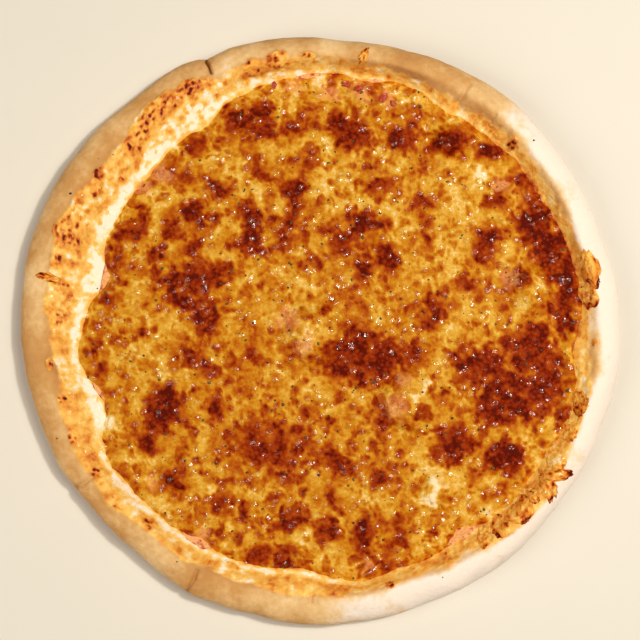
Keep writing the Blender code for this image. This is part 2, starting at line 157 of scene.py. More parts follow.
# Browned spots of the cheese (x, y, half length along x, half length along y, browning).
BROWN_SPOTS = (
    (-72, 26, 13, 5, 0.8), (-78, 14, 7, 4, 0.8), (-63, 5, 6, 8, 0.72), (-56, 30, 4, 3, 0.6),
    (-69, -19, 6, 5, 0.65), (-87, -44, 7, 6, 0.8), (-58, -45, 3, 3, 0.6), (-94, -63, 4, 4, 0.65),
    (-81, -85, 4, 4, 0.75), (-28, -66, 19, 12, 0.6), (-45, -78, 3, 3, 0.6), (-55, -98, 3, 3, 0.6),
    (-43, -100, 3, 3, 0.6), (-56, -112, 2, 2, 0.6), (-16, -106, 4, 3, 0.65), (-36, -125, 3, 3, 0.6),
    (-23, -127, 3, 3, 0.6), (9, -76, 4, 4, 0.65), (23, -114, 6, 4, 0.7), (4, -111, 3, 3, 0.6),
    (71, -63, 8, 7, 0.8), (103, -73, 8, 7, 1), (88, -22, 12, 10, 0.8), (108, -38, 15, 13, 0.8),
    (113, -14, 11, 12, 0.72), (92, -47, 7, 6, 0.72), (124, -30, 6, 12, 0.76), (34, -49, 3, 6, 0.75),
    (24, -18, 17, 11, 0.85), (50, -15, 4, 4, 0.65), (62, 11, 3, 7, 0.75), (36, 40, 4, 4, 0.8),
    (11, 46, 5, 4, 0.75), (20, 35, 3, 3, 0.6), (25, 59, 5, 4, 0.7), (58, 50, 3, 5, 0.7),
    (-40, 62, 5, 5, 0.75), (-38, 46, 5, 5, 0.8), (-18, 55, 3, 3, 0.6), (17, 108, 8, 7, 0.85),
    (45, 104, 7, 6, 0.75), (33, 79, 7, 4, 0.7), (57, 71, 4, 3, 0.6), (95, 70, 4, 3, 0.65),
    (92, 46, 4, 7, 0.8), (118, 57, 8, 8, 0.95), (127, 45, 7, 8, 0.9), (133, 32, 6, 9, 0.95),
    (136, 17, 4, 7, 0.85), (109, 26, 4, 4, 0.6), (68, 102, 6, 6, 0.85), (78, 102, 4, 4, 0.6),
    (95, 97, 6, 4, 0.8), (115, 81, 3, 3, 0.6), (83, 24, 3, 3, 0.55), (135, 4, 5, 5, 0.85),
    (-35, 107, 6, 4, 0.75), (-15, 113, 3, 3, 0.65), (-34, 121, 4, 3, 0.65), (-69, 100, 3, 4, 0.65),
    (-46, 114, 3, 3, 0.6), (-34, 89, 3, 3, 0.65), (-82, 88, 3, 3, 0.55), (-72, 63, 4, 4, 0.75),
    (-105, 52, 6, 3, 0.75), (-83, 53, 3, 3, 0.65), (-71, 44, 3, 3, 0.6), (-91, 40, 3, 3, 0.55),
    (-115, 36, 4, 3, 0.65), (-116, 14, 3, 3, 0.6), (-58, 80, 3, 3, 0.65), (-17, 76, 6, 4, 0.7),
    (-7, 91, 3, 3, 0.6), (-99, 63, 2, 2, 0.6), (-123, 1, 2, 2, 0.6), (-119, -21, 3, 3, 0.6),
    (-100, -4, 2, 2, 0.6),
)

# How much wider a spot is drawn than it is given, and how far the amber round it reaches.
SPOT_SWELLING = 1.26
HALO = 4.0

# Marks of light browning between the spots (spacing, shift, reach, fade, start, span, strength), and the
# dots of the film's toasted patches (the same without strength).
FRECKLES = (
    (6, 0, 0.65, 0.4, 0.3, 0.9, 0.3), (11, 50, 0.6, 0.4, 0.2, 0.8, 0.26),
    (3.6, 90, 0.55, 0.35, 0.2, 0.8, 0.24),
)
FILM_DOTS = (2.4, 0, 0.6, 0.35, 0.4, 0.8)

# Where the browning is thin over a pale blister (x, y, radius).
PALE_SPOTS = (
    (104, -17, 5), (-5, 0, 12), (52, -33, 9), (37, -45, 8), (118, 24, 6), (63, -92, 8), (-8, -112, 7),
    (90, 88, 6), (0, 138, 4), (-30, 139, 6), (22, 137, 4), (40, 132, 5), (-84, 98, 8), (-118, -52, 7),
)

# Where the sauce tints the cheese pink (x, y, radius).
PINK_SPOTS = (
    (-87, 85, 8), (-97, 78, 6), (-125, 29, 6), (-129, -35, 7), (-92, -85, 5), (-67, -115, 7), (25, -132, 4),
    (77, -115, 4), (-15, 134, 7), (6, 131, 8), (22, 131, 8), (37, 127, 6), (101, 80, 6), (-17, 4, 9),
    (41, -44, 10), (105, 26, 7), (-9, -10, 8), (45, -29, 6),
)

# Bits of tomato that show through at the edge (x, y, length, width).
TOMATO_BITS = (
    (14.5, 135.5, 6, 3.4), (21, 132.5, 4.5, 3), (34.5, 127.5, 6, 3.6), (-26, 135, 4, 2.4),
    (40, 124.5, 4, 2.4),
)

# The cheese sheet: points round it, cuts between them, how it is softened, and the relief's sizes.
DISC_POINTS = 304
DISC_CUTS = 3
SHEET_SOFTENING = 14
BUBBLE_SIZE = 2.7
CURD_SIZE = 5.5

# Its edge: how far it is rounded and ragged, how far in it melts down to what it lies on, and its thickness.
EDGE_ROUND = 0.3
EDGE_RAGGED = 0.7
EDGE_MELT = 3.5
EDGE_DROP = 0.8

# The cheese's underside runs in by these steps, clear of the sauce.
UNDERSIDE_STEPS = (-6, -12, -40)
SAUCE_GAP = 0.2

# The sauce: rings of its underside, rings and width of the pulp at its edge, how far in the rings of its top
# lie, and its gap over the dough. Both its faces close on a level ring.
SAUCE_UNDER_RINGS = 3
PULP_RINGS = 14
PULP_WIDTH = 11
SAUCE_TOP_RINGS = (25, 45)
DOUGH_GAP = 0.3
LEVEL_RADIUS = 60.0

# Pepper and herbs: how many, how far out, the share kept of those beside the cheese, the least and greatest
# measure of a grain, what favours small ones, and each kind's thickness beside its width.
PEPPER_GRAINS = 420
HERB_FLAKES = 260
STREWN_RADIUS = 157
STRAY_SHARE = 0.08
PEPPER_SIZES = (0.35, 0.9)
HERB_SIZES = (0.45, 1.15)
FAVOUR_SMALL = 1.5
PEPPER_THICKNESS = 0.75
HERB_THICKNESS = 0.3

# Where each colour stands on its ramp: cheese from melted to dark, and dough from floury to toasted.
CHEESE_STOPS = {"cream": 0, "pale": 0.17, "gold": 0.34, "amber": 0.5, "tan": 0.65, "brown": 0.82, "dark": 1}
FILM_STOPS = {"milky": 0, "peach": 0.2, "apricot": 0.44, "rust": 0.7, "brown": 0.9, "dark": 1}
DOUGH_STOPS = {"floured": 0.12, "buttery": 0.33, "golden": 0.58, "toasted": 1}
NOISE_ROUGHNESS = 0.55

# Beads of oil on the cheese.
OIL_ROUGHNESS = 0.13
OIL_GLOSS = 1.0

# The seeded unevenness: its lattice, and a seed for each piece.
LATTICE = 64
CRUST_SEED = 3
SAUCE_SEED = 5
FLECK_SEED = 7
CHEESE_SEED = 9
SCRAP_SEED = 13
TOMATO_SEED = 21

# The studio's lights (name, azimuth, elevation, distance, size, power in watts, colour), facing one place.
LIGHTS = (
    ("key", 14, 62, 1.5, 0.8, 9.5, (1.0, 0.91, 0.77)),
    ("sparkle", 18, 58, 1.5, 0.16, 12.3, (1.0, 0.93, 0.8)),
    ("fill", 200, 40, 1.6, 1.2, 13, (1.0, 0.9, 0.76)),
)
LIT_PLACE = (0, 0, 0.01)
ROOM_COLOUR = (1.0, 0.96, 0.9)
ROOM_STRENGTH = 0.08

# The floor lies just under the pizza.
FLOOR_SIZE = 4
FLOOR_DROP = 0.0003

# The camera: lens in millimetres, tilt and aim, and the view's width in points of so many millimetres.
CAMERA_LENS = 80
CAMERA_TILT = 4
CAMERA_AIM = (-0.0005, 0.0039, 0.008)
VIEW_POINTS = 640
POINT_SIZE = 0.552


def srgb(red, green, blue):
    """A colour given from 0 to 255, as the linear colour that a shader takes."""
    shares = (value / 255 for value in (red, green, blue))
    return tuple(s / 12.92 if s <= 0.04045 else ((s + 0.055) / 1.055) ** 2.4 for s in shares)


def around(angles, centre):
    """Signed difference between angles."""
    return (np.asarray(angles) - centre + 180) % 360 - 180


def smooth(share):
    """0 below 0, 1 above 1, and eased between."""
    share = np.clip(share, 0, 1)
    return share * share * (3 - 2 * share)


def polar(points):
    """Angle from 0 to 360, and radius, of each point."""
    return np.degrees(np.arctan2(points[:, 1], points[:, 0])) % 360, np.hypot(points[:, 0], points[:, 1])


def swells(angles, table):
    """Sum of single swellings round the pizza (angle, size, width)."""
    return sum(size * np.exp(-((around(angles, centre) / width) ** 2)) for centre, size, width in table)


def soften(values, passes):
    """Rows averaged with their neighbours round the pizza."""
    for _ in range(passes):
        values = (np.roll(values, 1, axis=-1) + 2 * values + np.roll(values, -1, axis=-1)) / 4
    return values


def middling(values, half):
    """The median of each value and its neighbours round the pizza, which drops what is narrow."""
    return np.median([np.roll(values, shift, axis=-1) for shift in range(-half, half + 1)], axis=0)


class Grain:
    """Seeded unevenness for points in millimetres."""

    def __init__(self, seed):
        self.lattice = np.random.default_rng(seed).uniform(-1, 1, (LATTICE,) * 3)

    def at(self, points, size):
        """Smooth noise from -1 to 1 with features of about this size."""
        cell = points / size
        corner = np.floor(cell).astype(int)
        share = smooth(cell - corner)
        total = np.zeros(len(points))
        for step in itertools.product((0, 1), repeat=3):
            weight = np.prod(np.where(step, share, 1 - share), axis=1)
            i, j, k = ((corner + step) % LATTICE).T
            total += weight * self.lattice[i, j, k]
        return total

    def rough(self, points, size, octaves=3, fade=0.55):
        """Noise with finer and finer detail."""
        total = np.zeros(len(points))
        for octave in range(octaves):
            total += fade**octave * self.at(points + 31.7 * octave, size / 2**octave)
        return total

    def cells(self, points, size):
        """Distance to the nearest scattered centre, in shares of their spacing, and that centre's mark."""
        cell = points[:, :2] / size
        corner = np.floor(cell).astype(int)
        nearest = np.full(len(points), 9.0)
        mark = np.zeros(len(points))
        for step in itertools.product((-1, 0, 1), repeat=2):
            i, j = ((corner + step) % LATTICE).T
            centre = corner + step + 0.5 + 0.45 * np.stack([self.lattice[i, j, 0], self.lattice[i, j, 1]], 1)
            away = np.linalg.norm(cell - centre, axis=1)
            closer = away < nearest
            nearest = np.where(closer, away, nearest)
            mark = np.where(closer, self.lattice[i, j, 2], mark)
        return nearest, mark


class Solid:
    """A mesh object as a surface that can be probed, in millimetres."""

    def __init__(self, obj):
        points = [obj.matrix_world @ vertex.co / MM for vertex in obj.data.vertices]
        self.tree = BVHTree.FromPolygons(points, [face.vertices for face in obj.data.polygons])

    def below(self, x, y):
        """The place and the normal that a ray from straight above meets, or None and None."""
        return self.tree.ray_cast(Vector((x, y, RAY_HEIGHT)), Vector((0, 0, -1)))[:2]

    def top(self, x, y):
        """Height of the surface seen from above, or None beside it."""
        place, _ = self.below(x, y)
        return place.z if place else None

    def reach(self, angle, height):
        """Radius at which a level ray from outside meets the surface."""
        out = Vector((math.cos(math.radians(angle)), math.sin(math.radians(angle)), 0))
        hit = self.tree.ray_cast(out * RAY_RADIUS + Vector((0, 0, height)), -out)[0]
        return math.hypot(hit.x, hit.y)

    def heights(self, x, y):
        """Heights at many places. A place just beside the surface takes the height a little further in."""
        found = []
        for place_x, place_y in zip(x, y):
            height = self.top(place_x, place_y)
            for _ in range(NUDGES):
                if height is not None:
                    break
                place_x *= NUDGE
                place_y *= NUDGE
                height = self.top(place_x, place_y)
            found.append(height)
        return np.array(found, float)


def crowded_angles():
    """The angles of the steps round the pizza, closer together at the creases."""
    fine = np.linspace(0, 360, FINE_STEPS, endpoint=False)
    pull = 1 + swells(fine, [(crease[0], CREASE_CROWDING, CREASE_REACH) for crease in CREASES])
    passed = np.concatenate([[0], np.cumsum(pull)])
    wanted = np.arange(TURN_STEPS) * passed[-1] / TURN_STEPS
    return np.interp(wanted, passed, np.append(fine, 360))


class Pizza:
    """The main lines of the pizza, probed from the frame's solids."""

    def __init__(self):
        nodes = frame["nodes"]
        self.crust = Solid(nodes["crust"])
        self.cheese = Solid(nodes["cheese"])
        self.sauce = Solid(nodes["tomato_sauce"])
        self.angles = crowded_angles()
        turns = np.radians(self.angles)
        self.across = np.cos(turns)
        self.along = np.sin(turns)
        reached = np.array([self.crust.reach(angle, WIDEST_AT) for angle in self.angles])
        self.edge = soften(reached, passes=12)
        self.floor = self.crust.top(0, 0)
        self.sauce_top = self.sauce.top(0, 0)
        insets = np.arange(*CREST_SEARCH)
        heights = np.array([
            self.crust.heights((self.edge - inset) * self.across, (self.edge - inset) * self.along)
            for inset in insets
        ])
        self.crest_height = soften(middling(heights.max(axis=0), half=12), passes=30)
        crest_in = insets[heights.argmax(axis=0)]
        self.crest = self.edge - soften(middling(crest_in, half=20), passes=60)
        self.rim = soften(self.edge_of(self.cheese), passes=4)

    def edge_of(self, solid):
        """Radius of a solid's edge at every step, found by coming in from outside."""
        found = []
        for across, along in zip(self.across, self.along):
            radius = SEARCH_RADIUS
            while solid.top(radius * across, radius * along) is None:
                radius -= SEARCH_STEP
            found.append(radius)
        return np.array(found)

    def at_angle(self, angles, values):
        """Values round the pizza at other angles."""
        return np.interp(np.asarray(angles) % 360, np.append(self.angles, 360), np.append(values, values[0]))


def deselect():
    """Clears the selection of objects, which an operator would act on."""
    bpy.ops.object.select_all(action="DESELECT")


def set_points(obj, points):
    """Moves an object's vertices to points in millimetres."""
    obj.data.vertices.foreach_set("co", (points * MM).ravel())
    obj.data.update()


def within_box(points):
    """Points in millimetres, none of them outside the frame's box."""
    low, high = (np.array(corner) / MM for corner in CAD_BOX)
    return np.clip(points, low, high)


def get_points(obj):
    """An object's vertices as points in millimetres."""
    points = np.empty(len(obj.data.vertices) * 3)
    obj.data.vertices.foreach_get("co", points)
    return points.reshape(-1, 3) / MM


def get_normals(obj):
    """The directions in which an object's vertices face."""
    normals = np.empty(len(obj.data.vertices) * 3)
    obj.data.vertex_normals.foreach_get("vector", normals)
    return normals.reshape(-1, 3)


def store(obj, **marks):
    """Keeps named numbers for each vertex, for the finish to read."""
    for name, values in marks.items():
        kept = obj.data.attributes.new(name, "FLOAT", "POINT")
        kept.data.foreach_set("value", np.asarray(values, np.float32))


def edit(obj, *steps):
    """Runs edit-mode steps on an object and comes back to object mode."""
    bpy.context.view_layer.objects.active = obj
    bpy.ops.object.mode_set(mode="EDIT")
    for step in steps:
        step()
    bpy.ops.object.mode_set(mode="OBJECT")


def select_mesh():
    bpy.ops.mesh.select_all(action="SELECT")


def select_rim():
    """Selects the open edges of a sheet or tube."""
    select_mesh()
    bpy.ops.mesh.region_to_loop()


def face_out():
    """Turns all faces outwards."""
    select_mesh()
    bpy.ops.mesh.normals_make_consistent(inside=False)


def lathe(name, rings):
    """A profile of so many points turned round by a Screw, with each vertex's ring and step round."""
    deselect()
    bpy.ops.mesh.primitive_plane_add(size=1)
    made = bpy.context.active_object
    made.name = made.data.name = name
    edit(made, lambda: bpy.ops.mesh.delete(type="VERT"))
    profile = made.data
    profile.vertices.add(rings)
    profile.vertices.foreach_set("co", [value for ring in range(rings) for value in (1, 0, -ring)])
    profile.edges.add(rings - 1)
    profile.edges.foreach_set("vertices", [end for ring in range(rings - 1) for end in (ring, ring + 1)])
    turn = made.modifiers.new("turn", "SCREW")
    turn.steps = turn.render_steps = TURN_STEPS
    bpy.ops.object.modifier_apply(modifier=turn.name)
    co = get_points(made) * MM
    ring = np.rint(-co[:, 2]).astype(int)
    angle, _ = polar(co)
    step = np.rint(angle * TURN_STEPS / 360).astype(int) % TURN_STEPS
    return made, ring, step


def finish_piece(obj, material, slot, *nodes):
    """The object's finish, shading and place in the frame."""
    obj.data.materials.clear()
    obj.data.materials.append(material)
    deselect()
    obj.select_set(True)
    bpy.context.view_layer.objects.active = obj
    bpy.ops.object.shade_smooth()
    obj.select_set(False)
    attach(obj, "root")
    if nodes:
        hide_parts(*nodes)


def arithmetic(operation, swapped=False):
    """An operator of Value that adds this Math node."""
    def method(self, other):
        first, second = (other, self) if swapped else (self, other)
        return self.finish.node("ShaderNodeMath", {"operation": operation}, {0: first, 1: second})
    return method


class Value:
    """A socket of a finish. Arithmetic on it adds Math nodes."""

    def __init__(self, finish, socket):
        self.finish = finish
        self.socket = socket

    __add__ = arithmetic("ADD")
    __radd__ = arithmetic("ADD", swapped=True)
    __sub__ = arithmetic("SUBTRACT")
    __rsub__ = arithmetic("SUBTRACT", swapped=True)
    __mul__ = arithmetic("MULTIPLY")
    __rmul__ = arithmetic("MULTIPLY", swapped=True)
    __pow__ = arithmetic("POWER")

    def clamped(self):
        """The value kept between 0 and 1."""
        return self.finish.node("ShaderNodeClamp", {}, {0: self})

    def step(self, low, high):
        """0 below low, 1 above high, and smooth between."""
        values = {0: self, 1: low, 2: high, 3: 0, 4: 1}
        return self.finish.node("ShaderNodeMapRange", {"interpolation_type": "SMOOTHSTEP"}, values)


class Finish:
    """A Principled material built node by node."""

    def __init__(self, name):
        self.material = bpy.data.materials.new(name)
        self.material.use_nodes = True
        self.tree = self.material.node_tree
        self.shader = self.tree.nodes["Principled BSDF"]
        self.place = self.node("ShaderNodeTexCoord", {}, {}, "Object")

    def feed(self, socket, value):
        """Links a value to a socket, or sets the socket's own number or colour."""
        if isinstance(value, Value):
            self.tree.links.new(value.socket, socket)
        else:
            socket.default_value = (*value, 1) if socket.type == "RGBA" else value

    def node(self, kind, settings, values, output=0):
        """Any node: its settings first, then its sockets' values or links."""
        made = self.tree.nodes.new(kind)
        for key, value in settings.items():
            setattr(made, key, value)
        for key, value in values.items():
            self.feed(made.inputs[key], value)
        return Value(self, made.outputs[output])

    def kept(self, name):
        """A number stored on the mesh."""
        return self.node("ShaderNodeAttribute", {"attribute_name": name}, {}, "Fac")

    def noise(self, size, detail=3.0):
        """Noise from 0 to 1 with features of about this size in millimetres."""
        grain = {"Scale": 1 / (size * MM), "Detail": detail, "Roughness": NOISE_ROUGHNESS}
        return self.node("ShaderNodeTexNoise", {}, {"Vector": self.place, **grain}, "Fac")

    def bubbles(self, size):
        """Distance from scattered centres, in shares of their spacing."""
        values = {"Vector": self.place, "Scale": 1 / (size * MM)}
        return self.node("ShaderNodeTexVoronoi", {"feature": "F1"}, values, "Distance")

    def mix(self, share, first, second):
        """One colour into another."""
        return self.node("ShaderNodeMix", {"data_type": "RGBA"}, {0: share, 6: first, 7: second}, 2)

    def ramp(self, share, stops):
        """Colours by a number, from (position, colour) stops."""
        made = self.tree.nodes.new("ShaderNodeValToRGB")
        elements = made.color_ramp.elements
        while len(elements) < len(stops):
            elements.new(0.5)
        for element, (position, colour) in zip(elements, stops):
            element.position = position
            element.color = (*colour, 1)
        self.feed(made.inputs[0], share)
        return Value(self, made.outputs[0])

    def bump(self, height):
        """A relief in the shading, from a height in millimetres."""
        return self.node("ShaderNodeBump", {}, {"Height": height, "Distance": MM}, "Normal")

    def set(self, **inputs):
        """The shader's own sockets, by name with _ for a space."""
        for key, value in inputs.items():
            self.feed(self.shader.inputs[key.replace("_", " ")], value)

    def oil(self, share, shade, normal):
        """A film of oil over the shader, where share is 1."""
        gloss = {"Roughness": OIL_ROUGHNESS, "Specular IOR Level": OIL_GLOSS}
        oiled = self.node("ShaderNodeBsdfPrincipled", {}, {"Base Color": shade, **gloss, "Normal": normal})
        plain = Value(self, self.shader.outputs[0])
        mixed = self.node("ShaderNodeMixShader", {}, {0: share, 1: plain, 2: oiled})
        self.tree.links.new(mixed.socket, self.tree.nodes["Material Output"].inputs["Surface"])


def colour(name, description, default):
    """A colour that a user can change."""
    return bpy.props.FloatVectorProperty(
        name=name, description=description, subtype="COLOR", min=0, max=1, default=default
    )


class PizzaSizes(bpy.types.PropertyGroup):
    """Sizes that a user would change."""

    relief: bpy.props.FloatProperty(
        name="Cheese relief", description="Height of the blisters in the browned cheese, in millimetres",
        default=0.9, min=0, max=2,
    )
    dough_relief: bpy.props.FloatProperty(
        name="Dough relief", description="Height of the rim's unevenness, in millimetres",
        default=0.55, min=0, max=1.5,
    )
    pepper: bpy.props.IntProperty(
        name="Pepper grains", description="Number of pepper grains", default=PEPPER_GRAINS, min=0, max=2000
    )
    herbs: bpy.props.IntProperty(
        name="Herb flakes", description="Number of dried herb flakes", default=HERB_FLAKES, min=0, max=2000
    )


class PizzaColours(bpy.types.PropertyGroup):
    """Colours that a user would change."""

    floured: colour("Floured dough", "Dough where it is pale and floury", srgb(248, 234, 222))
    buttery: colour("Buttery dough", "Dough between floury and golden", srgb(236, 197, 140))
    golden: colour("Golden dough", "Dough where it is baked golden", srgb(207, 155, 92))
    toasted: colour("Toasted dough", "Dough where it is toasted", srgb(176, 110, 52))
    cream: colour("Creamy cheese", "Cheese that has stayed white", srgb(246, 226, 186))
    pale: colour("Pale cheese", "Melted cheese that has hardly browned", srgb(224, 174, 66))
    gold: colour("Golden cheese", "Melted cheese", srgb(200, 131, 22))
    amber: colour("Amber cheese", "Lightly browned cheese", srgb(180, 91, 8))
    tan: colour("Tanned cheese", "Cheese between amber and brown", srgb(156, 57, 3))
    brown: colour("Browned cheese", "Well browned cheese", srgb(134, 35, 1))
    dark: colour("Darkest cheese", "The darkest blisters", srgb(90, 14, 0))
    milky: colour("Milky film", "Film of cheese that has stayed white", srgb(254, 241, 218))
    peach: colour("Pale film", "Thin baked film of cheese on the dough", srgb(250, 205, 110))
    apricot: colour("Golden film", "Film of cheese baked golden", srgb(238, 168, 66))
    rust: colour("Toasted film", "Film of cheese toasted", srgb(206, 104, 32))
    pink: colour("Pink cheese", "Cheese stained by the sauce", srgb(238, 168, 100))
    sauce: colour("Tomato sauce", "Cooked tomato sauce", srgb(176, 52, 24))
    pepper: colour("Pepper", "Ground pepper", srgb(38, 26, 20))
    herb: colour("Herb", "Dried herb", srgb(66, 62, 26))
    floor: colour("Floor", "The studio floor", srgb(226, 222, 214))


def ramp_stops(colours, places):
    """A ramp's stops, from the places of the colours on it."""
    return tuple((place, tuple(getattr(colours, name))) for name, place in places.items())


def baked_cheese(finish, colours, places):
    """Colour, roughness, oil and height of melted cheese, by the browning and pinkness kept on the mesh."""
    soft = finish.noise(4.6, 2)
    lumps = finish.noise(1.9, 2)
    grains = finish.noise(0.9, 2)
    bubbles = finish.bubbles(2.2)
    drift = 0.5 + 0.5 * finish.noise(16).step(0.38, 0.58)
    threads = (1 - (finish.noise(11, 2) * 18 - 9) ** 2).clamped() * finish.noise(8).step(0.45, 0.65)
    bead = (1 - (finish.bubbles(5.2) * 2.6) ** 2).clamped() * drift
    browning = finish.kept("browning")
    crisp = browning.step(0.5, 0.8)
    heat = browning + 0.3 * (soft - 0.5) + 0.4 * (lumps - 0.5) + 0.12 * (grains - 0.5)
    heat = heat + crisp * (0.5 * bubbles - 0.2) - 0.08 * threads
    pink = (finish.kept("pink") + 1.2 * (lumps - 0.5) + 0.8 * (soft - 0.5)).step(0.35, 1.0)
    saucy = 0.7 * (0.5 * lumps + 0.5 * soft).step(0.4, 0.65)
    stain = finish.mix(saucy, tuple(colours.pink), tuple(colours.sauce))
    shades = finish.ramp((heat + 0.2) * (1 / 1.2), ramp_stops(colours, places))
    shade = finish.mix(0.72 * pink, shades, stain)
    roughness = 0.42 + 0.14 * lumps + 0.1 * crisp
    height = 0.8 * soft + 0.62 * lumps + 0.16 * grains + 0.5 * bead + 0.12 * threads
    return shade, roughness, bead.step(0.15, 0.6), height - crisp * (0.5 * bubbles)


def dough_finish(colours):
    """Floury to toasted dough, its golden tone partly painted shade, with baked cheese over it where the
    mesh has a film.
    """
    finish = Finish("floury_dough")
    # The kept tone mixes toasting with painted shade on the side turned from the light.
    toast = finish.kept("toast") + 0.5 * (finish.noise(16, 4) - 0.5) + 0.35 * (finish.noise(3, 4) - 0.5)
    dough = finish.ramp(toast * (1 / 1.15), ramp_stops(colours, DOUGH_STOPS))
    film = (finish.kept("film") + 0.6 * (finish.noise(3.2) - 0.5)).step(0.15, 0.85)
    shade, roughness, oil, height = baked_cheese(finish, colours, FILM_STOPS)
    crumb = 0.22 * finish.noise(0.7, 4) + 0.35 * finish.noise(2.4)
    skin = finish.mix(film, dough, shade)
    normal = finish.bump(crumb + film * (0.7 * height - crumb))
    dullness = 0.75 - 0.75 * film + film * (roughness + 0.15)
    finish.set(Base_Color=skin, Roughness=dullness, Specular_IOR_Level=0.25, Normal=normal)
    finish.oil(0.25 * film * oil, skin, normal)
    return finish.material


def cheese_finish(colours, name, places):
    """Melted cheese with beads of oil, its colours placed by browning."""
    finish = Finish(name)
    shade, roughness, oil, height = baked_cheese(finish, colours, places)
    normal = finish.bump(height)
    finish.set(Base_Color=shade, Roughness=roughness, Specular_IOR_Level=0.05, Normal=normal)
    finish.oil(oil, shade, normal)
    return finish.material


def sauce_finish(colours, name, creamy):
    """Cooked tomato, the creamier the more cheese has melted into it."""
    finish = Finish(name)
    shade = finish.noise(3, 4)
    finish.set(
        Base_Color=finish.mix((shade + creamy).step(0.4, 0.6), tuple(colours.sauce), tuple(colours.pink)),
        Roughness=0.25 + 0.2 * shade,
        Normal=finish.bump(0.9 * finish.noise(1.6, 4)),
    )
    return finish.material


def fleck_finish(name, shade, lift):
    """A dry flake or grain, uneven in tone."""
    finish = Finish(name)
    light = tuple(min(1, lift * part + 0.02) for part in shade)
    finish.set(
        Base_Color=finish.mix(finish.noise(0.6).step(0.4, 0.65), tuple(shade), light),
        Roughness=0.6 + 0.2 * finish.noise(1),
        Normal=finish.bump(0.1 * finish.noise(0.3)),
    )
    return finish.material


def floor_finish(colours):
    """A plain, slightly uneven floor."""
    finish = Finish("studio_floor")
    shade = tuple(colours.floor)
    lighter = tuple(min(1, 1.03 * part) for part in shade)
    uneven = finish.mix(finish.noise(40), shade, lighter)
    finish.set(Base_Color=uneven, Roughness=0.75 + 0.1 * finish.noise(5))
    return finish.material


def press_creases(points, normals):
    """Slits and folds in the rim."""
    angle, radius = polar(points)
    for centre, inner, outer, width, depth in CREASES:
        aside = np.radians(around(angle, centre)) * radius + 0.25 * np.sin(radius * 0.6)
        within = smooth((radius - inner) / 3) * smooth((outer + 2 - radius) / 3) * (points[:, 2] > WIDEST_AT)
        points -= normals * (depth * within * np.exp(-np.abs(aside / (width / 2)) ** 1.5))[:, None]


def section_points(pizza, ring, step):
    """Places the crust's rings, from the underside round the roll and down the inner slope to the floor."""
    edge = pizza.edge
    crest = pizza.crest
    inner = pizza.rim - UNDER_CHEESE
    radii = [edge - UNDER_IN]
    heights = [np.zeros(TURN_STEPS)]
    for index in range(UNDER_RINGS):
        turn = math.radians(-UNDER_TURN + UNDER_TURN * index / UNDER_RINGS)
        radii.append(crest + (edge - crest) * math.cos(turn))
        heights.append(np.full(TURN_STEPS, WIDEST_AT * (1 + math.sin(turn))))
    for index in range(ROLL_RINGS):
        turn = math.radians(90 * index / (ROLL_RINGS - 1))
        radii.append(crest + (edge - crest) * math.cos(turn))
        heights.append(WIDEST_AT + (pizza.crest_height - WIDEST_AT) * math.sin(turn))
    slope = []
    for index in range(1, SLOPE_RINGS + 1):
        radius = crest + (inner - crest) * index / SLOPE_RINGS
        radii.append(radius)
        slope.append(pizza.crust.heights(radius * pizza.across, radius * pizza.along))
    slope = soften(middling(np.array(slope), half=9), passes=14)
    slope = np.concatenate([slope[:0:-1], [pizza.crest_height], slope])
    for _ in range(SLOPE_EASING):
        slope[1:-1] = (slope[:-2] + 2 * slope[1:-1] + slope[2:]) / 4
    crest_row = len(slope) - SLOPE_RINGS - 1
    drop = pizza.crest_height - slope[crest_row]
    for index, row in enumerate(slope[crest_row + 1:]):
        heights.append(row + drop * (1 - (index + 1) / SLOPE_RINGS) ** 2)
    radii.append(inner - FLOOR_RUN)
    heights.append(np.full(TURN_STEPS, pizza.floor))
    radius = np.array(radii)[ring, step]
    height = np.array(heights)[ring, step]
    return np.stack([radius * pizza.across[step], radius * pizza.along[step], height], 1)


def freckles(grain, points, spacing, shift, reach, fade, start, span):
    """Round marks of uneven strength, from 0 to 1, at scattered centres."""
    away, strength = grain.cells(points + shift, spacing)
    return smooth((reach - away) / fade) * smooth((strength + start) / span)


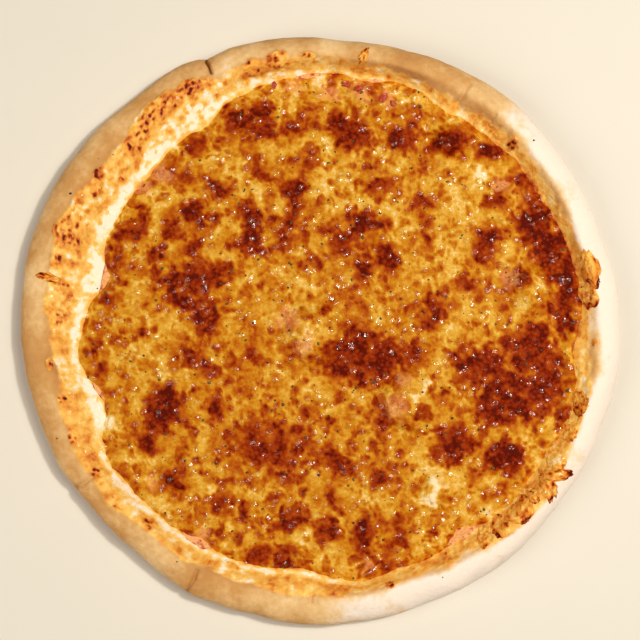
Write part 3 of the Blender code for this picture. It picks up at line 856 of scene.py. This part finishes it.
def film_marks(pizza, points, grain):
    """Film of baked cheese on the inner slope: its cover, browning, pinkness and the height of its lumps."""
    angle, radius = polar(points)
    rim = pizza.at_angle(angle, pizza.rim)
    edge = np.interp(angle, *zip(*FILM_EDGE), period=360)
    ragged = 1.8 * grain.rough(points, 12) + 0.5 * grain.at(points, 2.5)
    cover = smooth((edge + ragged - radius) / 5 + 0.5)
    heat, _, pink = cheese_marks(points, Grain(CHEESE_SEED))
    climb = np.clip((radius - rim) / (edge - rim), 0, 1.3)
    shaded = smooth((75 - np.abs(around(angle, LIT_SIDE))) / 30)
    mottle = 0.27 * grain.rough(points + 7, 5) + 0.14 * grain.at(points + 8, 14)
    from_speck, tone = grain.cells(points + 70, 2.8)
    grainy = 0.14 + 0.2 * smooth((45 - np.abs(around(angle, GRAINY_SIDE))) / 20)
    mottle += grainy * tone * smooth((0.75 - from_speck) / 0.4)
    streaks = 0.2 * grain.at(np.stack([np.radians(angle) * 150, 0.35 * radius, 0 * radius], 1) + 30, 2.6)
    slope = -0.24 + 0.48 * smooth((climb - 0.1) / 0.38) + mottle + streaks
    # Where the inner slope lies in shade, on the side turned to the light, the film is painted an even
    # golden tone in place of its milky band: painted shade.
    slope = slope * (1 - shaded) + (0.24 + mottle) * shaded
    upward = smooth((radius - rim + 1) / 4)
    heat = heat * (1 - upward) + upward * slope
    lumps = np.zeros(len(points))
    dots = freckles(grain, points, *FILM_DOTS)
    for centre, middle, length, width, height, browning in FILM_TOAST:
        aside = np.radians(around(angle, centre)) * radius
        away = np.hypot(aside / (length / 2), (radius - middle) / (width / 2))
        away += 0.3 * grain.rough(points + 5, 4)
        patch = smooth((1.4 - away) / 0.9)
        baked = browning - 0.2 + 0.5 * dots + 0.25 * grain.rough(points + 90, 2.8)
        heat = heat * (1 - patch) + patch * baked
        cover = np.maximum(cover, smooth((1.25 - away) / 0.5))
        lumps = np.maximum(lumps, height * patch * (0.8 + 0.4 * grain.at(points + 3, 3)))
    return cover, heat, pink * (1 - upward), lumps


def toast_and_shade_marks(pizza, points, grain):
    """How golden the dough is: floury on the side turned to the light and golden away from it, partly
    toasting and partly painted shade; deeper on the inner slope, partly painted shade where that slope lies
    in shade, and low down.
    """
    angle, radius = polar(points)
    crest = pizza.at_angle(angle, pizza.crest)
    # Golden grows away from the side turned to the light: partly the dough's toast, partly painted shade.
    golden = smooth((np.abs(around(angle, LIT_SIDE)) - 40) / 50)
    inside = smooth((crest + 1 - radius) / 6)
    low = smooth((9 - points[:, 2]) / 9) * (radius > crest)
    # The inner slope below the crest is painted more golden, most on the side turned to the light, where
    # that slope lies in shade: partly painted shade.
    slope = (0.32 + 0.14 * (1 - golden)) * smooth((crest + 2 - radius) / 6)
    return 0.02 + 0.56 * golden * (1 - 0.3 * inside) + slope + 0.5 * low + 0.2 * grain.rough(points, 24, 4)


class PIZZA_OT_crust(bpy.types.Operator):
    """Turns the dough's section round the pizza and bakes its rim, creases and film of cheese"""

    bl_idname = "pizza.crust"
    bl_label = "Crust"

    def execute(self, context):
        pizza = Pizza()
        grain = Grain(CRUST_SEED)
        rings = 1 + UNDER_RINGS + ROLL_RINGS + SLOPE_RINGS + 1
        crust, ring, step = lathe("baked_crust", rings)
        set_points(crust, section_points(pizza, ring, step))
        points = get_points(crust)
        edit(crust, select_rim, bpy.ops.mesh.edge_face_add, face_out)
        normals = get_normals(crust)
        film, heat, pink, lumps = film_marks(pizza, points, grain)
        shown = np.hypot(points[:, 0], points[:, 1]) > pizza.rim[step] - 1.5
        free = smooth(points[:, 2] / 3) * shown
        relief = context.scene.pizza_sizes.dough_relief
        lift = relief * (grain.rough(points, 26) + 0.4 * grain.rough(points, 7) + 0.12 * grain.at(points, 2))
        bubble, _ = grain.cells(points, 2.4)
        crisp = smooth((heat - 0.45) / 0.3)
        lift += film * (0.2 + 0.2 * grain.rough(points, 4) + 0.4 * crisp * (0.7 - bubble)) + lumps
        points += normals * (lift * free)[:, None]
        press_creases(points, normals)
        points = within_box(points)
        set_points(crust, points)
        # The dough's tone is kept with its painted shade on the side turned from the light.
        store(crust, film=film, browning=heat, pink=pink, toast=toast_and_shade_marks(pizza, points, grain))
        finish_piece(crust, dough_finish(context.scene.pizza_colours), "baked_dough", "crust")
        return {"FINISHED"}


class PIZZA_OT_sauce(bpy.types.Operator):
    """Lays the sauce between the dough and the cheese, with pulp where it shows at the edge"""

    bl_idname = "pizza.sauce"
    bl_label = "Tomato sauce"

    def execute(self, context):
        pizza = Pizza()
        grain = Grain(SAUCE_SEED)
        outer = soften(pizza.edge_of(pizza.sauce) - 0.1, passes=4)
        level = np.full(TURN_STEPS, LEVEL_RADIUS)
        radii = [level, pizza.rim - 12, outer - 0.3]
        radii += [outer - PULP_WIDTH * share for share in np.linspace(0, 1, PULP_RINGS)]
        radii += [outer - inwards for inwards in SAUCE_TOP_RINGS]
        radii.append(level)
        sauce, ring, step = lathe("sauce_layer", len(radii))
        radius = np.array(radii)[ring, step]
        x, y = radius * pizza.across[step], radius * pizza.along[step]
        top = pizza.sauce.heights(x, y)
        floor = pizza.crust.heights(x, y)
        height = np.where(ring < SAUCE_UNDER_RINGS, floor + DOUGH_GAP, top)
        height[ring == SAUCE_UNDER_RINGS] = floor[ring == SAUCE_UNDER_RINGS] + 0.5
        height[ring == 0] = pizza.floor + DOUGH_GAP
        height[ring == len(radii) - 1] = pizza.sauce_top
        points = np.stack([x, y, height], 1)
        pulpy = (ring > SAUCE_UNDER_RINGS) & (radius > pizza.rim[step] + 0.4)
        points[:, 2] += np.where(pulpy, 0.25 * grain.rough(points, 3), 0)
        set_points(sauce, points)
        edit(sauce, select_rim, bpy.ops.mesh.edge_face_add, face_out)
        surface = sauce_finish(context.scene.pizza_colours, "creamy_sauce", 0.1)
        finish_piece(sauce, surface, "tomato_sauce", "tomato_sauce")
        return {"FINISHED"}


def spot_mask(points, spots, ragged, fade=0.75):
    """The strongest of many oval spots at each point, their ragged edges fading over a share of a spot."""
    found = np.zeros(len(points))
    for x, y, half_x, half_y, strength in spots:
        away = np.hypot((points[:, 0] - x) / half_x, (points[:, 1] - y) / half_y)
        found = np.maximum(found, strength * smooth((1.45 - away + ragged) / fade))
    return found


def round_mask(points, spots, ragged, fade):
    """The same for round spots, all of full strength."""
    return spot_mask(points, [(x, y, radius, radius, 1) for x, y, radius in spots], ragged, fade)


def cheese_marks(points, grain):
    """Browning, cover by browned spots, and pinkness of the cheese, each about 0 to 1."""
    flat = points * (1, 1, 0)
    bent = flat.copy()
    for axis, shift in ((0, 11), (1, 13)):
        bent[:, axis] += 2.6 * grain.at(flat + shift, 9) + 1.5 * grain.at(flat + shift + 1, 3.6)
    ragged = 0.35 * grain.at(flat + 15, 2.2)
    swollen = []
    haloed = []
    for x, y, wide, long, deep in BROWN_SPOTS:
        swollen.append((x, y, SPOT_SWELLING * wide, SPOT_SWELLING * long, deep))
        haloed.append((x, y, wide + HALO, long + HALO, 1))
    brown = spot_mask(bent, swollen, ragged, 1.0)
    halo = spot_mask(bent, haloed, ragged)
    heat = 0.12 + 0.14 * grain.rough(flat + 16, 26) + 0.18 * grain.rough(flat + 17, 7) + 0.18 * halo
    for *marks, strength in FRECKLES:
        heat += strength * freckles(grain, bent, *marks)
    heat = np.maximum(heat, 0) * (1 - 0.75 * brown) + brown * (0.8 + 0.32 * grain.rough(flat + 18, 5))
    heat -= 0.28 * round_mask(bent, PALE_SPOTS, ragged, 1.2)
    return heat, brown, round_mask(bent, PINK_SPOTS, ragged, 1.3)


class PIZZA_OT_cheese(bpy.types.Operator):
    """Melts a sheet of cheese over the sauce, with browned blisters where the oven caught it"""

    bl_idname = "pizza.cheese"
    bl_label = "Cheese"

    def execute(self, context):
        pizza = Pizza()
        grain = Grain(CHEESE_SEED)
        deselect()
        bpy.ops.mesh.primitive_circle_add(vertices=DISC_POINTS, radius=1)
        cheese = context.active_object
        cheese.name = cheese.data.name = "melted_cheese"
        edit(
            cheese, select_mesh, lambda: bpy.ops.mesh.fill_grid(span=DISC_POINTS // 4),
            select_mesh, lambda: bpy.ops.mesh.subdivide(number_cuts=DISC_CUTS),
        )
        unit = get_points(cheese) * MM
        share = np.hypot(unit[:, 0], unit[:, 1])
        turns = np.arctan2(unit[:, 1], unit[:, 0])
        mean = pizza.rim.mean()
        rim = pizza.at_angle(np.degrees(turns), pizza.rim)
        brink = np.stack([mean * np.cos(turns), mean * np.sin(turns), 0 * turns], 1)
        rim += EDGE_RAGGED * (grain.at(brink, 6) + 0.8 * grain.at(brink + 20, 2.4)) - EDGE_ROUND
        radius = share * (mean + (rim - mean) * share**3)
        x, y = radius * np.cos(turns), radius * np.sin(turns)
        set_points(cheese, np.stack([x, y, pizza.cheese.heights(x, y)], 1))
        soft = cheese.modifiers.new("soften", "SMOOTH")
        soft.iterations = SHEET_SOFTENING
        soft.use_x = soft.use_y = False
        bpy.context.view_layer.objects.active = cheese
        bpy.ops.object.modifier_apply(modifier=soft.name)
        points = get_points(cheese)
        heat, brown, pink = cheese_marks(points, grain)
        flat = points * (1, 1, 0)
        bubble, _ = grain.cells(points, BUBBLE_SIZE)
        lift = 0.35 * grain.rough(flat + 61, 10) + 0.5 * grain.at(flat + 60, CURD_SIZE)
        lift += context.scene.pizza_sizes.relief * brown * (0.15 + 0.9 * (0.75 - bubble))
        lift += 0.2 * grain.rough(flat + 62, 2.8, 2)
        points[:, 2] += lift
        grounds = [Solid(bpy.data.objects[name]) for name in ("baked_crust", "sauce_layer")]
        near = rim - radius < EDGE_MELT
        under = np.max([ground.heights(x[near], y[near]) for ground in grounds], axis=0)
        melt = smooth((rim - radius)[near] / EDGE_MELT) ** 0.7
        points[near, 2] = under + 0.1 + np.maximum(points[near, 2] - under - 0.1, 0.25 * melt) * melt
        set_points(cheese, points)
        edit(cheese, select_rim)
        for outwards in (EDGE_ROUND, *UNDERSIDE_STEPS):
            edit(cheese, bpy.ops.mesh.extrude_edges_move)
            chosen = np.zeros(len(cheese.data.vertices), bool)
            cheese.data.vertices.foreach_get("select", chosen)
            points = get_points(cheese)
            moved = points[chosen]
            moved[:, :2] *= 1 + outwards / np.hypot(moved[:, 0], moved[:, 1])[:, None]
            below = pizza.sauce.heights(moved[:, 0], moved[:, 1]) + SAUCE_GAP
            moved[:, 2] = moved[:, 2] - EDGE_DROP if outwards > 0 else np.minimum(moved[:, 2], below)
            points[chosen] = moved
            set_points(cheese, points)
        edit(cheese, bpy.ops.mesh.edge_face_add, face_out)
        more = len(cheese.data.vertices) - len(heat)
        heat, pink = (np.append(marks, np.full(more, marks.mean())) for marks in (heat, pink))
        store(cheese, browning=heat, pink=pink)
        surface = cheese_finish(context.scene.pizza_colours, "browned_cheese", CHEESE_STOPS)
        finish_piece(cheese, surface, "melted_cheese", "cheese")
        return {"FINISHED"}


def join(name, pieces):
    """Makes one piece of many."""
    deselect()
    for piece in pieces:
        piece.select_set(True)
    bpy.context.view_layer.objects.active = pieces[0]
    bpy.ops.object.join()
    made = bpy.context.active_object
    made.name = made.data.name = name
    return made


class PIZZA_OT_scraps(bpy.types.Operator):
    """Bakes scraps and tongues of cheese on the rim's inner slope"""

    bl_idname = "pizza.scraps"
    bl_label = "Baked-on scraps"

    def execute(self, context):
        grain = Grain(SCRAP_SEED)
        dough = Solid(bpy.data.objects["baked_crust"])
        pieces = []
        for index, (angle, radius, length, width, height, turn, browning) in enumerate(SCRAPS):
            deselect()
            bpy.ops.mesh.primitive_ico_sphere_add(subdivisions=5, radius=1)
            scrap = context.active_object
            unit = get_points(scrap) * MM
            place = unit * 3 + 40 * index
            ragged = 1 + 0.3 * grain.rough(place, 2.2) + 0.1 * grain.rough(place, 0.7)
            lean = math.radians(turn)
            u = unit[:, 0] * SCRAP_SPREAD * length * ragged
            v = unit[:, 1] * SCRAP_SPREAD * width * ragged
            aside = u * math.cos(lean) - v * math.sin(lean)
            out = radius + u * math.sin(lean) + v * math.cos(lean)
            turns = math.radians(angle) - aside / radius
            x, y = out * np.cos(turns), out * np.sin(turns)
            dome = np.maximum(unit[:, 2], 0)
            bulge = SCRAP_BULGE * smooth(dome / 0.9) * (0.8 + 0.5 * grain.at(place, 1.1))
            rise = np.where(unit[:, 2] > 0, height * bulge, -SCRAP_SUNK)
            set_points(scrap, within_box(np.stack([x, y, dough.heights(x, y) + rise], 1)))
            tip = smooth((unit[:, 0] - 0.35) / 0.5)
            heat = browning - 0.2 + 0.3 * tip + 0.35 * grain.rough(place, 1.1)
            store(scrap, browning=heat, pink=0 * x)
            pieces.append(scrap)
        scraps = join("baked_on_scraps", pieces)
        edit(scraps, face_out)
        surface = cheese_finish(context.scene.pizza_colours, "crisp_scraps", FILM_STOPS)
        finish_piece(scraps, surface, "melted_cheese")
        return {"FINISHED"}


def scatter(name, count, seed, sizes, thickness, grounds):
    """Many small flakes that lie on the cheese, and a few beside it on the crust, joined as one piece."""
    chance = random.Random(seed)
    deselect()
    bpy.ops.mesh.primitive_ico_sphere_add(subdivisions=1, radius=1)
    made = bpy.context.active_object
    made.name = made.data.name = name
    shape = get_points(made) * MM
    faces = np.array([face.vertices[:] for face in made.data.polygons])
    points = []
    while len(points) < count:
        angle = chance.uniform(0, 2 * math.pi)
        radius = STREWN_RADIUS * math.sqrt(chance.random())
        x, y = radius * math.cos(angle), radius * math.sin(angle)
        on_cheese, on_crust = (ground.below(x, y) for ground in grounds)
        melted_over = on_cheese[0] and on_cheese[0].z > on_crust[0].z
        if not melted_over and chance.random() > STRAY_SHARE:
            continue
        place, normal = on_cheese if melted_over else on_crust
        size = chance.uniform(*sizes) ** FAVOUR_SMALL
        jitter = np.array([[chance.uniform(0.65, 1.2) for _ in range(3)] for _ in shape])
        local = shape * jitter * (size, size * chance.uniform(0.5, 1), size * thickness)
        spin = Matrix.Rotation(chance.uniform(0, 2 * math.pi), 3, "Z")
        tilt = normal.to_track_quat("Z", "Y").to_matrix()
        points.append(local @ np.array(tilt @ spin).T + np.array(place) + np.array(normal) * size * 0.2)
    corners = within_box(np.concatenate(points)) * MM
    offset = len(shape) * np.arange(count)[:, None, None]
    made.data.clear_geometry()
    made.data.from_pydata(corners.tolist(), [], (faces[None] + offset).reshape(-1, 3).tolist())
    return made


class PIZZA_OT_tomato(bpy.types.Operator):
    """Lays bits of tomato at the top edge, where they show through the cheese"""

    bl_idname = "pizza.tomato"
    bl_label = "Tomato bits"

    def execute(self, context):
        grain = Grain(TOMATO_SEED)
        ground = Solid(bpy.data.objects["melted_cheese"])
        pieces = []
        for index, (x, y, length, width) in enumerate(TOMATO_BITS):
            deselect()
            bpy.ops.mesh.primitive_ico_sphere_add(subdivisions=4, radius=1)
            bit = context.active_object
            unit = get_points(bit) * MM
            uneven = 1 + 0.3 * grain.rough(unit * 3 + 9 * index, 1.6)
            points = unit * (length / 2, width / 2, 0.9) * uneven[:, None]
            turn = math.radians(37 * index - 20)
            spun = points @ np.array([
                [math.cos(turn), math.sin(turn), 0], [-math.sin(turn), math.cos(turn), 0], [0, 0, 1]
            ])
            set_points(bit, spun + (x, y, ground.heights([x], [y])[0] + 0.3))
            pieces.append(bit)
        bits = join("tomato_bits", pieces)
        finish_piece(bits, sauce_finish(context.scene.pizza_colours, "cooked_tomato", -0.15), "tomato_sauce")
        return {"FINISHED"}


class PIZZA_OT_seasoning(bpy.types.Operator):
    """Strews ground pepper and dried herbs over the cheese"""

    bl_idname = "pizza.seasoning"
    bl_label = "Pepper and herbs"

    def execute(self, context):
        colours = context.scene.pizza_colours
        sizes = context.scene.pizza_sizes
        grounds = [Solid(bpy.data.objects[name]) for name in ("melted_cheese", "baked_crust")]
        pepper = scatter("ground_pepper", sizes.pepper, FLECK_SEED, PEPPER_SIZES, PEPPER_THICKNESS, grounds)
        finish_piece(pepper, fleck_finish("pepper", colours.pepper, 2.5), "melted_cheese")
        herbs = scatter("dried_herbs", sizes.herbs, FLECK_SEED + 1, HERB_SIZES, HERB_THICKNESS, grounds)
        finish_piece(herbs, fleck_finish("herb", colours.herb, 2.2), "melted_cheese")
        return {"FINISHED"}


def area_light(name, azimuth, elevation, distance, size, power, colour_of_light, target):
    """A soft light at this bearing, facing the pizza."""
    data = bpy.data.lights.new(name, "AREA")
    data.shape = "DISK"
    data.size = size
    data.energy = power
    data.color = colour_of_light
    lamp = bpy.data.objects.new(name, data)
    bpy.context.scene.collection.objects.link(lamp)
    turn, lift = math.radians(azimuth), math.radians(elevation)
    out = Vector((math.cos(turn) * math.cos(lift), math.sin(turn) * math.cos(lift), math.sin(lift)))
    lamp.location = target + out * distance
    lamp.rotation_euler = out.to_track_quat("Z", "Y").to_euler()


class PIZZA_OT_stage(bpy.types.Operator):
    """Sets the pale floor, the soft light, most of it from the right, and the camera overhead"""

    bl_idname = "pizza.stage"
    bl_label = "Stage"

    def execute(self, context):
        scene = context.scene
        deselect()
        bpy.ops.mesh.primitive_plane_add(size=FLOOR_SIZE, location=(0, 0, -FLOOR_DROP))
        floor = context.active_object
        floor.name = floor.data.name = "studio_floor"
        floor.data.materials.append(floor_finish(scene.pizza_colours))

        for light in LIGHTS:
            area_light(*light, Vector(LIT_PLACE))

        world = bpy.data.worlds.new("studio")
        world.use_nodes = True
        room = world.node_tree.nodes["Background"].inputs
        room["Color"].default_value = (*ROOM_COLOUR, 1)
        room["Strength"].default_value = ROOM_STRENGTH
        scene.world = world

        data = bpy.data.cameras.new("overhead")
        data.lens = CAMERA_LENS
        camera = bpy.data.objects.new("overhead", data)
        scene.collection.objects.link(camera)
        tilt = math.radians(CAMERA_TILT)
        span = VIEW_POINTS * POINT_SIZE * MM
        distance = data.lens * span / data.sensor_width
        camera.location = Vector(CAMERA_AIM) + Vector((0, -math.sin(tilt), math.cos(tilt))) * distance
        camera.rotation_euler = (tilt, 0, 0)
        scene.camera = camera
        scene.view_settings.view_transform = "Standard"
        return {"FINISHED"}


class PIZZA_PT_panel(bpy.types.Panel):
    """The pieces in the order they are made"""

    bl_label = "Margherita Pizza"
    bl_space_type = "VIEW_3D"
    bl_region_type = "UI"
    bl_category = "Pizza"

    def draw(self, context):
        for group in (context.scene.pizza_sizes, context.scene.pizza_colours):
            for name in group.__annotations__:
                self.layout.prop(group, name)
        for operator in OPERATORS:
            self.layout.operator(operator.bl_idname)


OPERATORS = (
    PIZZA_OT_crust, PIZZA_OT_sauce, PIZZA_OT_cheese, PIZZA_OT_scraps, PIZZA_OT_tomato, PIZZA_OT_seasoning,
    PIZZA_OT_stage,
)
CLASSES = (PizzaSizes, PizzaColours, *OPERATORS, PIZZA_PT_panel)


def register():
    for item in CLASSES:
        bpy.utils.register_class(item)
    bpy.types.Scene.pizza_sizes = bpy.props.PointerProperty(type=PizzaSizes)
    bpy.types.Scene.pizza_colours = bpy.props.PointerProperty(type=PizzaColours)


def unregister():
    del bpy.types.Scene.pizza_colours
    del bpy.types.Scene.pizza_sizes
    for item in reversed(CLASSES):
        bpy.utils.unregister_class(item)


def main():
    register()
    for piece in ("crust", "sauce", "cheese", "scraps", "tomato", "seasoning", "stage"):
        getattr(bpy.ops.pizza, piece)()


if __name__ == "__main__":
    main()
